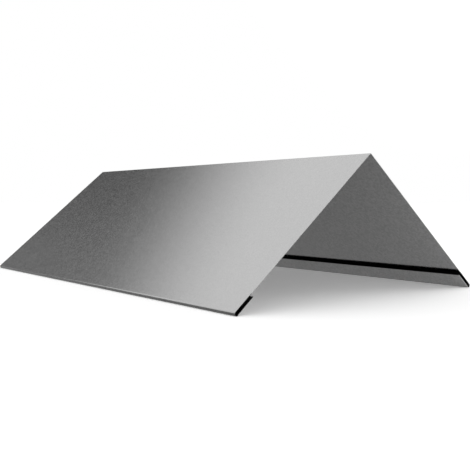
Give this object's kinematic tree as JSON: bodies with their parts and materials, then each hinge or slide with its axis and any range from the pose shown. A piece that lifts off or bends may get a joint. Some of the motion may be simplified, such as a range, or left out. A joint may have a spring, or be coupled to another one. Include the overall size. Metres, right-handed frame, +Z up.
{
  "type": "roof ridge cap",
  "caption": "Flat ridge cap folded from galvanised sheet: an upside-down V with open hems turned under its long edges, laid over a roof's ridge to close it and shed rain.",
  "frame": {"origin": "on the floor that the hem folds stand on, midway along the ridge and directly below it", "axes": "+Y along the ridge, +X across the roof, +Z up"},
  "size_m": [0.3002, 0.5, 0.1286],
  "materials": {
    "galvanised_steel": "satin"
  },
  "bodies": {
    "root": {"ridge_cap": "galvanised_steel"}
  },
  "joints": []
}
